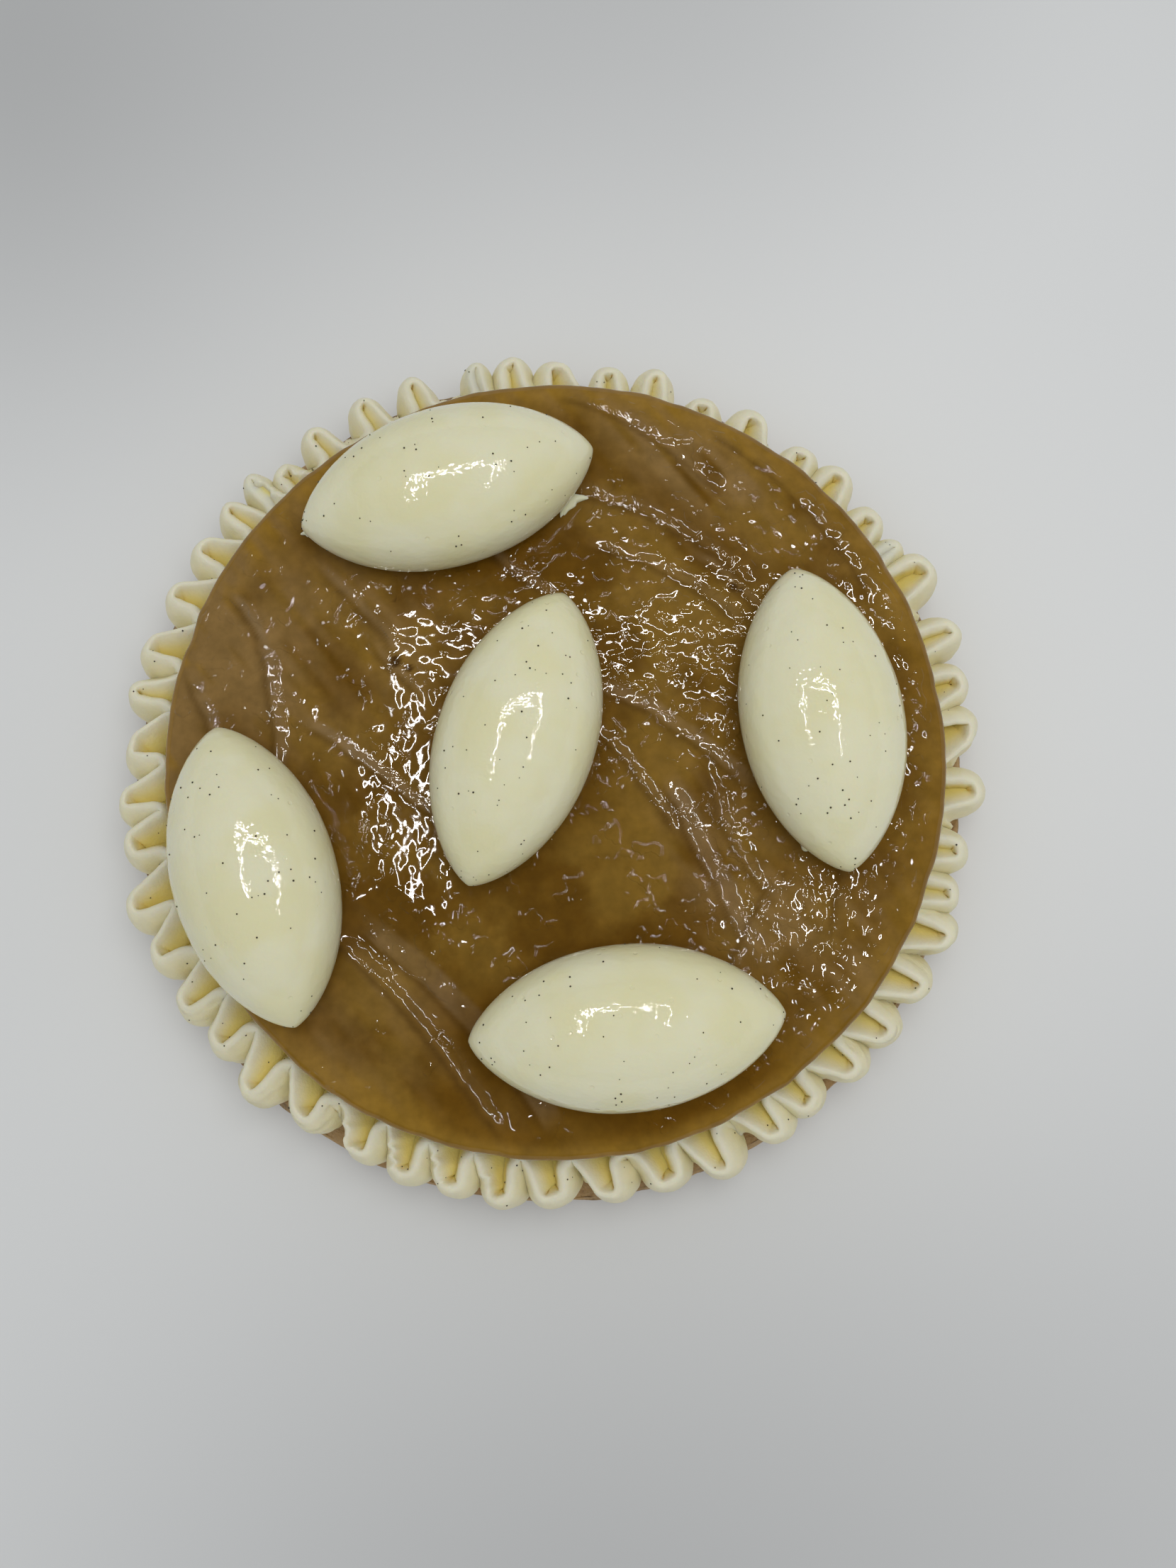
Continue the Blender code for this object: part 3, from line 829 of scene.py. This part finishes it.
# Beside the apple the cream is pressed against its side.
dx, dy = spots[:, 0] - DISC_X, spots[:, 1] - DISC_Y
from_disc = np.hypot(dx, dy)
keep_off = np.maximum(DISC_RADIUS + 0.3, from_disc) / from_disc
spots[:, 0] = DISC_X + dx * keep_off
spots[:, 1] = DISC_Y + dy * keep_off
put(ruffle, spots)
paint(ruffle, "crest", crest_light_marks.ravel())
paint(ruffle, "hollow_shade", hollow_shade_marks.ravel())
# Painted shade: the cream is painted yellower and darker the lower it lies under the crest.
paint(ruffle, "low", (RUFFLE_CREST - spots[:, 2]) / 20)
bpy.ops.object.mode_set(mode="EDIT")
bpy.ops.mesh.select_all(action="SELECT")
bpy.ops.mesh.remove_doubles(threshold=1e-7)
bpy.ops.mesh.normals_make_consistent(inside=False)
bpy.ops.object.mode_set(mode="OBJECT")
bpy.ops.object.shade_smooth()

# Painted light on the crest.
CREAM_LIT_CREST = (0.84, 0.80, 0.62)
CREAM_BODY = (0.85, 0.79, 0.53)
# Painted shade on the lower cream.
CREAM_SHADED_LOW = (0.84, 0.74, 0.42)
# Painted shade deep in the hollows.
CREAM_HOLLOW_SHADE = (0.85, 0.71, 0.235)
ruffle_finish, tree, shader = new_finish("piped_vanilla_cream", 0.38)
# Painted shade: the lower cream is yellower.
cream = mixed(tree, painted(tree, "low"), CREAM_BODY, CREAM_SHADED_LOW)
# Painted shade in the hollows.
cream = mixed(tree, painted(tree, "hollow_shade"), cream, CREAM_HOLLOW_SHADE)
# Painted light on the crest.
cream = mixed(tree, painted(tree, "crest"), cream, CREAM_LIT_CREST)
uneven = mixed(tree, cloud(tree, 260), (0.5, 0.5, 0.5), (1.4, 1.4, 1.4))
cream = mixed(tree, 0.05, cream, uneven, "MULTIPLY")
tree.links.new(cream, shader.inputs["Base Color"])
shader.inputs["Subsurface Weight"].default_value = 0.35
shader.inputs["Subsurface Radius"].default_value = (0.0030, 0.0022, 0.0010)
shader.inputs["Subsurface Scale"].default_value = 1.0
bumped(tree, shader, cloud(tree, 1500, detail=4, low=0.2, high=0.8), 0.00006)
ruffle.data.materials.append(ruffle_finish)
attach(ruffle, "root")
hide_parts("piped_border")

# ---------------------------------------------------------------- quenelles
# Five quenelles of set vanilla cream, cast in moulds, chilled, turned out and laid on the
# jelly: smooth and glossy, pointed at both ends, with soft swells along their backs.
QUENELLE_LENGTH = 77.0
QUENELLE_WIDTH = 40.0
QUENELLE_HEIGHT = 26.0
QUENELLE_BELLY = 8.0
QUENELLE_FOOT = 0.86
QUENELLE_SINK = 0.3
QUENELLE_SPOKES = 84
QUENELLE_RINGS = 88
QUENELLE_CREAM = (0.79, 0.755, 0.480)
QUENELLE_PALE = (0.81, 0.785, 0.560)

quenelle_finish, tree, shader = new_finish("set_vanilla_cream", 0.045)
cream = mixed(tree, cloud(tree, 60, detail=2), QUENELLE_CREAM, QUENELLE_PALE)
tree.links.new(cream, shader.inputs["Base Color"])
shader.inputs["Subsurface Weight"].default_value = 0.35
shader.inputs["Subsurface Radius"].default_value = (0.0040, 0.0030, 0.0015)
shader.inputs["Subsurface Scale"].default_value = 1.0
# Its skin, in millimetres: shallow waves, and the rims of small burst bubbles.
where = tree.nodes.new("ShaderNodeTexCoord")
bubbles = add_node(tree, "ShaderNodeTexVoronoi", Scale=150.0)
tree.links.new(where.outputs["Object"], bubbles.inputs["Vector"])
pits = maths(tree, "MULTIPLY", ramp(tree, bubbles.outputs["Distance"], 0.05, 0.10), 0.10)
waves = maths(tree, "MULTIPLY", cloud(tree, 340, detail=2.0, low=0.2, high=0.8), 0.085)
bumped(tree, shader, maths(tree, "ADD", pits, waves), MM)


def quenelle_shape(s, a, seed):
    """Points at s along it, from -1 to 1, and angle a round its section, in millimetres."""
    shrink = np.clip(1 - np.abs(s) ** 2.05, 0, 1) ** 0.71
    half = QUENELLE_WIDTH / 2 * shrink
    rise = (QUENELLE_HEIGHT - QUENELLE_BELLY) * np.clip(1 - np.abs(s) ** 2.2, 0, 1) ** 0.66
    up = np.sin(a)
    under = np.clip(-up, 0, 1)
    tuck = np.clip(under / (0.55 + 0.45 * np.abs(s) ** 4), 0, 1)
    width = half * (1 + (QUENELLE_FOOT - 1) * tuck**2)
    base = QUENELLE_BELLY * np.abs(s) ** 7
    level = np.where(up >= 0, QUENELLE_BELLY + rise * np.maximum(up, 0),
                     base + (QUENELLE_BELLY - base) * (1 - np.sin(tuck * math.pi / 2)))
    across = width * np.cos(a)
    where = on_plane(s * 38, np.cos(a) * 20, up * 18)
    swell = 0.22 * rough(where * (0.35, 1, 1), 9, seed) + 0.12 * rough(where, 13, seed + 1)
    swell *= step(-0.3, 0.2, up) * shrink
    height = level + swell * np.maximum(up, 0)
    return np.stack([s * QUENELLE_LENGTH / 2, across * (1 + swell / 20), height], -1)


quenelle_pieces = []
for seed, (name, heading) in enumerate(QUENELLES.items(), 60):
    low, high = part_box(name)
    bpy.ops.object.select_all(action="DESELECT")
    bpy.ops.mesh.primitive_uv_sphere_add(
        segments=QUENELLE_SPOKES, ring_count=QUENELLE_RINGS, radius=1, location=(0, 0, 0))
    quenelle = bpy.context.object
    quenelle.name = name.replace("quenelle", "cream_quenelle")
    ball = places(quenelle) / 1000
    s = -np.cos(np.arccos(np.clip(-ball[:, 2], -1, 1)))
    a = np.arctan2(ball[:, 1], ball[:, 0])
    shape = quenelle_shape(s, a, seed * 10)
    heading = math.radians(heading)
    x = 500 * (low.x + high.x) + shape[:, 0] * math.cos(heading) - shape[:, 1] * math.sin(heading)
    y = 500 * (low.y + high.y) + shape[:, 0] * math.sin(heading) + shape[:, 1] * math.cos(heading)
    put(quenelle, np.stack([x, y, 1000 * low.z - QUENELLE_SINK + shape[:, 2]], 1))
    bpy.ops.object.mode_set(mode="EDIT")
    bpy.ops.mesh.select_all(action="SELECT")
    bpy.ops.mesh.normals_make_consistent(inside=False)
    bpy.ops.object.mode_set(mode="OBJECT")
    bpy.ops.object.shade_smooth()
    quenelle.data.materials.append(quenelle_finish)
    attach(quenelle, "root")
    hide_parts(name)
    quenelle_pieces.append(quenelle)

# ---------------------------------------------------------------- smears and seeds
# Where a quenelle was set down, a little cream was left at its foot.
# Each: where, how long, wide and high, and which way it lies, in degrees.
SMEARS = (
    ("cream_drip", (66.8, -22.8), (1.9, 1.4, 1.8), 60),
    ("cream_smear_right", (7.5, 66.8), (4.2, 1.5, 1.1), 35),
    ("cream_smear_left", (-57.0, 58.6), (4.6, 1.7, 1.5), -28),
)
for name, (x, y), size, heading in SMEARS:
    bpy.ops.object.select_all(action="DESELECT")
    bpy.ops.mesh.primitive_ico_sphere_add(subdivisions=4, radius=MM, location=(0, 0, 0))
    smear = bpy.context.object
    smear.name = name
    spots = places(smear) * size
    spots *= 1 + 0.22 * rough(spots, 1.6, 81)[:, None]
    along, across = spots[:, 0].copy(), spots[:, 1] - 0.09 * spots[:, 0] ** 2
    heading = math.radians(heading)
    spots[:, 0] = x + along * math.cos(heading) - across * math.sin(heading)
    spots[:, 1] = y + along * math.sin(heading) + across * math.cos(heading)
    spots[:, 2] += DISC_TOP + 0.2
    put(smear, spots)
    bpy.ops.object.shade_smooth()
    smear.data.materials.append(quenelle_finish)
    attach(smear, "root")

# Specks of vanilla seed, half sunk in the cream of the quenelles and the ruffle.
SEEDS_ON_QUENELLE = 58
SEEDS_ON_RUFFLE = 190
SEED_RADIUS = (0.14, 0.29)
SEED_DARK = (0.045, 0.038, 0.018)
chance = random.Random(5)
seed_spots = []
seeded = [(quenelle, SEEDS_ON_QUENELLE) for quenelle in quenelle_pieces]
seeded.append((ruffle, SEEDS_ON_RUFFLE))
for piece, count in seeded:
    skin = places(piece)
    seen = skin[skin[:, 2] > (DISC_TOP + 3 if piece != ruffle else RUFFLE_CREST - 7)]
    likely = np.ones(len(seen)) if piece == ruffle else (seen[:, 2] - DISC_TOP) ** 2
    seed_spots += chance.choices(list(seen), weights=list(likely), k=count)
bpy.ops.object.select_all(action="DESELECT")
for number, spot in enumerate(seed_spots):
    size = chance.uniform(*SEED_RADIUS) * MM
    bpy.ops.mesh.primitive_ico_sphere_add(subdivisions=1, radius=size, location=spot * MM)
    if number == 0:
        seeds = bpy.context.object
        seeds.name = "vanilla_seeds"
        bpy.ops.object.mode_set(mode="EDIT")
bpy.ops.object.mode_set(mode="OBJECT")
bpy.ops.object.transform_apply(location=True, rotation=True, scale=True)
seed_finish, tree, shader = new_finish("vanilla_seed", 0.4)
shader.inputs["Base Color"].default_value = (*SEED_DARK, 1)
seeds.data.materials.append(seed_finish)
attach(seeds, "root")

# ---------------------------------------------------------------- table
# Plain matt white board. The tent throws soft shade on it at the back left and in front.
TABLE_WHITE = (0.83, 0.835, 0.832)
TABLE_SHADE = (0.30, 0.30, 0.30)
# Each soft shade: its middle, how far it reaches, and how deep it is.
SHADES = (((-0.165, 0.235), 0.20, 0.50), ((0.020, 0.260), 0.17, 0.34), ((0.010, -0.250), 0.23, 0.46),
          ((0.200, -0.200), 0.24, 0.24))

bpy.ops.object.select_all(action="DESELECT")
bpy.ops.mesh.primitive_plane_add(size=4, location=(0, 0, 0))
table_top = bpy.context.object
table_top.name = "table_top"
table_finish, tree, shader = new_finish("white_board", 0.6)
shader.inputs["Specular IOR Level"].default_value = 0.2
white = TABLE_WHITE
for (x, y), reach, share in SHADES:
    where = tree.nodes.new("ShaderNodeTexCoord")
    centred = tree.nodes.new("ShaderNodeMapping")
    centred.inputs["Location"].default_value = (-x / reach, -y / reach, 0)
    centred.inputs["Scale"].default_value = (1 / reach, 1 / reach, 1 / reach)
    spot = tree.nodes.new("ShaderNodeTexGradient")
    spot.gradient_type = "SPHERICAL"
    tree.links.new(where.outputs["Object"], centred.inputs["Vector"])
    tree.links.new(centred.outputs[0], spot.inputs["Vector"])
    depth = maths(tree, "MULTIPLY", ramp(tree, spot.outputs["Fac"], 0.0, 1.0), share)
    white = mixed(tree, depth, white, TABLE_SHADE)
tree.links.new(white, shader.inputs["Base Color"])
table_top.data.materials.append(table_finish)
